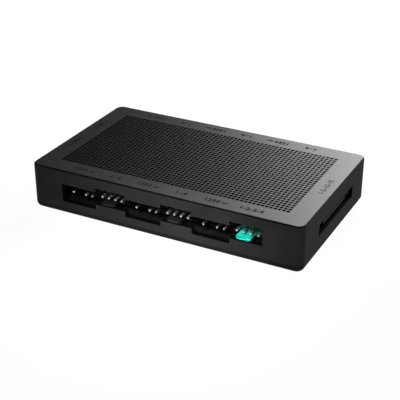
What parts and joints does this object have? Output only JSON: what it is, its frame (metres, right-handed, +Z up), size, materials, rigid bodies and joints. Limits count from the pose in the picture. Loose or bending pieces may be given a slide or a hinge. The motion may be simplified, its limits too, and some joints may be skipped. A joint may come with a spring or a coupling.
{
  "type": "pc fan controller hub",
  "caption": "Flat black box with a pitted roof that shares power, fan speed and light signals out to rows of pin sockets in its sides.",
  "frame": {"origin": "middle of the underside", "axes": "+X along the case to the power socket, +Y to the rear row of ports, +Z up through the roof"},
  "size_m": [0.1024, 0.0598, 0.017],
  "materials": {
    "case_plastic": "finely textured black moulded plastic",
    "header_plastic": "satin black connector plastic",
    "header_turquoise": "satin turquoise connector plastic",
    "pin_metal": "bright tin-plated wire",
    "contact_metal": "thin gold-coloured plating",
    "plug_plastic": "satin black connector plastic",
    "board_laminate": "black solder mask over glass laminate",
    "can_aluminium": "drawn can with a black foot",
    "chip_epoxy": "moulded epoxy",
    "screw_steel": "black zinc plating",
    "magnet_nickel": "bright nickel plating"
  },
  "bodies": {
    "root": {"top_cover": "case_plastic", "base_plate": "case_plastic", "circuit_board": "board_laminate", "light_header_front_1": "header_plastic", "light_pins_front_1": "pin_metal", "fan_header_front_1": "header_plastic", "fan_pins_front_1": "pin_metal", "light_header_front_2": "header_plastic", "light_pins_front_2": "pin_metal", "fan_header_front_2": "header_plastic", "fan_pins_front_2": "pin_metal", "light_header_front_3": "header_plastic", "light_pins_front_3": "pin_metal", "fan_header_front_3": "header_turquoise", "fan_pins_front_3": "pin_metal", "light_header_rear_1": "header_plastic", "light_pins_rear_1": "pin_metal", "fan_header_rear_1": "header_plastic", "fan_pins_rear_1": "pin_metal", "light_header_rear_2": "header_plastic", "light_pins_rear_2": "pin_metal", "fan_header_rear_2": "header_plastic", "fan_pins_rear_2": "pin_metal", "light_header_rear_3": "header_plastic", "light_pins_rear_3": "pin_metal", "fan_header_rear_3": "header_plastic", "fan_pins_rear_3": "pin_metal", "light_input_header": "header_plastic", "light_input_pins": "pin_metal", "fan_input_header": "header_plastic", "fan_input_pins": "pin_metal", "power_plug": "plug_plastic", "power_contacts": "contact_metal", "bulk_capacitors": "can_aluminium", "light_buffer_chip": "chip_epoxy", "fan_buffer_chip": "chip_epoxy", "case_screws": "screw_steel", "board_screws": "screw_steel", "mount_magnets": "magnet_nickel"}
  },
  "joints": []
}
